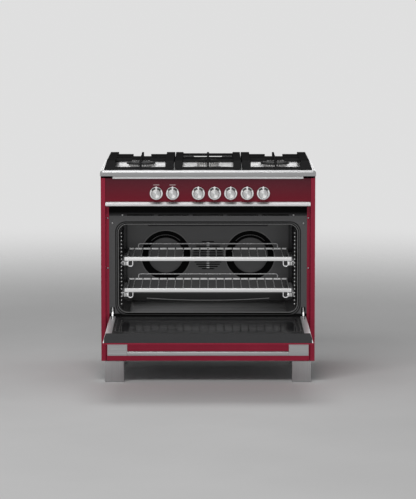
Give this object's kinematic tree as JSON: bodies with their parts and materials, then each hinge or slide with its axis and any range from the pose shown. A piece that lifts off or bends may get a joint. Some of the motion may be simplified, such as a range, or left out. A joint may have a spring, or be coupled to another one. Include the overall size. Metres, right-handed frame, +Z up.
{
  "type": "freestanding gas range",
  "caption": "Wide freestanding gas range: steel hob with cast grates over burners, red body with turning knobs, drop-down oven door, sliding wire racks and square legs.",
  "frame": {"origin": "on the floor, in the middle of the box round the range with its door open", "axes": "+X to the right as seen from the front, +Y to the back, +Z up"},
  "size_m": [0.911, 1.099, 0.943],
  "materials": {
    "red_enamel": "gloss",
    "satin_steel": "satin",
    "dark_enamel": "satin",
    "cast_black": "matte",
    "chrome_wire": "polished",
    "knob_metal": "satin",
    "burner_alloy": "cast",
    "pane": "clear",
    "zinc_sheet": "galvanised",
    "valve_brass": "machined",
    "black_plastic": "matte",
    "rope_seal": "woven",
    "mineral_wool": "fibrous"
  },
  "bodies": {
    "chassis": {"side_panel_left": "red_enamel", "side_panel_right": "red_enamel", "back_panel": "zinc_sheet", "base_pan": "zinc_sheet", "lower_panel": "red_enamel", "legs": "satin_steel", "hob_top": "satin_steel", "hob_front_strip": "satin_steel", "control_panel": "red_enamel", "trim_strip": "satin_steel", "oven_front_frame": "dark_enamel", "door_gasket": "rope_seal", "cavity_liner": "dark_enamel", "fan_baffle": "dark_enamel", "fan_covers": "dark_enamel", "fan_motors": "zinc_sheet", "side_ladders": "chrome_wire", "runner_rails": "chrome_wire", "oven_floor_plate": "dark_enamel", "bake_burner": "zinc_sheet", "grill_burner": "zinc_sheet", "insulation": "mineral_wool", "gas_manifold": "zinc_sheet", "gas_valves": "valve_brass", "oven_controls": "black_plastic", "burner_bases": "burner_alloy", "burner_heads": "burner_alloy", "burner_caps": "cast_black", "frame_screws": "satin_steel", "hinge_claws": "satin_steel", "power_inlet": "black_plastic"},
    "door": {"door_outer_panel": "red_enamel", "door_outer_glass": "pane", "door_liner": "dark_enamel", "door_inner_glass": "pane", "door_side_trims": "satin_steel", "hinge_housings": "zinc_sheet", "handle_bar": "satin_steel", "handle_brackets": "satin_steel"},
    "rack_upper": {"rack_upper": "chrome_wire", "runner_slides_upper": "chrome_wire"},
    "rack_lower": {"rack_lower": "chrome_wire", "runner_slides_lower": "chrome_wire"},
    "fan_left": {"fan_impeller_left": "zinc_sheet"},
    "fan_right": {"fan_impeller_right": "zinc_sheet"},
    "grate_left": {"grate_left": "cast_black"},
    "grate_centre": {"grate_centre": "cast_black"},
    "grate_right": {"grate_right": "cast_black"},
    "knob_1": {"knob_1": "knob_metal"},
    "knob_2": {"knob_2": "knob_metal"},
    "valve_stem_1": {"valve_stem_1": "valve_brass"},
    "knob_3": {"knob_3": "knob_metal"},
    "valve_stem_2": {"valve_stem_2": "valve_brass"},
    "knob_4": {"knob_4": "knob_metal"},
    "valve_stem_3": {"valve_stem_3": "valve_brass"},
    "knob_5": {"knob_5": "knob_metal"},
    "valve_stem_4": {"valve_stem_4": "valve_brass"},
    "knob_6": {"knob_6": "knob_metal"},
    "valve_stem_5": {"valve_stem_5": "valve_brass"},
    "knob_7": {"knob_7": "knob_metal"}
  },
  "joints": [
    {"name": "door_hinge", "type": "hinge", "parent": "chassis", "child": "door", "pos_m": [0, -0.0585, 0.251], "axis": [-1, 0, 0], "range_deg": [0, 90]},
    {"name": "rack_upper_slide", "type": "slide", "parent": "chassis", "child": "rack_upper", "axis": [0, 1, 0], "range_m": [-0.25, 0]},
    {"name": "rack_lower_slide", "type": "slide", "parent": "chassis", "child": "rack_lower", "axis": [0, 1, 0], "range_m": [-0.25, 0]},
    {"name": "fan_left_spin", "type": "hinge", "parent": "chassis", "child": "fan_left", "pos_m": [-0.186, 0.4115, 0.4895], "axis": [0, 1, 0], "continuous": true},
    {"name": "fan_right_spin", "type": "hinge", "parent": "chassis", "child": "fan_right", "pos_m": [0.186, 0.4115, 0.4895], "axis": [0, 1, 0], "continuous": true},
    {"name": "grate_left_lift", "type": "slide", "parent": "chassis", "child": "grate_left", "axis": [0, 0, 1], "range_m": [0, 0.1]},
    {"name": "grate_centre_lift", "type": "slide", "parent": "chassis", "child": "grate_centre", "axis": [0, 0, 1], "range_m": [0, 0.1]},
    {"name": "grate_right_lift", "type": "slide", "parent": "chassis", "child": "grate_right", "axis": [0, 0, 1], "range_m": [0, 0.1]},
    {"name": "knob_1_turn", "type": "hinge", "parent": "chassis", "child": "knob_1", "pos_m": [-0.2181, -0.0985, 0.807], "axis": [0, -1, 0], "range_deg": [-270, 0]},
    {"name": "knob_2_turn", "type": "hinge", "parent": "chassis", "child": "knob_2", "pos_m": [-0.1494, -0.0985, 0.807], "axis": [0, -1, 0], "range_deg": [-270, 0]},
    {"name": "knob_3_push", "type": "slide", "parent": "chassis", "child": "valve_stem_1", "axis": [0, 1, 0], "range_m": [0, 0.004], "stiffness_N_per_m": 1500},
    {"name": "knob_3_turn", "type": "hinge", "parent": "valve_stem_1", "child": "knob_3", "pos_m": [-0.0406, -0.0985, 0.807], "axis": [0, -1, 0], "range_deg": [0, 210]},
    {"name": "knob_4_push", "type": "slide", "parent": "chassis", "child": "valve_stem_2", "axis": [0, 1, 0], "range_m": [0, 0.004], "stiffness_N_per_m": 1500},
    {"name": "knob_4_turn", "type": "hinge", "parent": "valve_stem_2", "child": "knob_4", "pos_m": [0.0276, -0.0985, 0.807], "axis": [0, -1, 0], "range_deg": [0, 210]},
    {"name": "knob_5_push", "type": "slide", "parent": "chassis", "child": "valve_stem_3", "axis": [0, 1, 0], "range_m": [0, 0.004], "stiffness_N_per_m": 1500},
    {"name": "knob_5_turn", "type": "hinge", "parent": "valve_stem_3", "child": "knob_5", "pos_m": [0.0955, -0.0985, 0.807], "axis": [0, -1, 0], "range_deg": [0, 210]},
    {"name": "knob_6_push", "type": "slide", "parent": "chassis", "child": "valve_stem_4", "axis": [0, 1, 0], "range_m": [0, 0.004], "stiffness_N_per_m": 1500},
    {"name": "knob_6_turn", "type": "hinge", "parent": "valve_stem_4", "child": "knob_6", "pos_m": [0.165, -0.0985, 0.807], "axis": [0, -1, 0], "range_deg": [0, 210]},
    {"name": "knob_7_push", "type": "slide", "parent": "chassis", "child": "valve_stem_5", "axis": [0, 1, 0], "range_m": [0, 0.004], "stiffness_N_per_m": 1500},
    {"name": "knob_7_turn", "type": "hinge", "parent": "valve_stem_5", "child": "knob_7", "pos_m": [0.2332, -0.0985, 0.807], "axis": [0, -1, 0], "range_deg": [0, 210]}
  ]
}
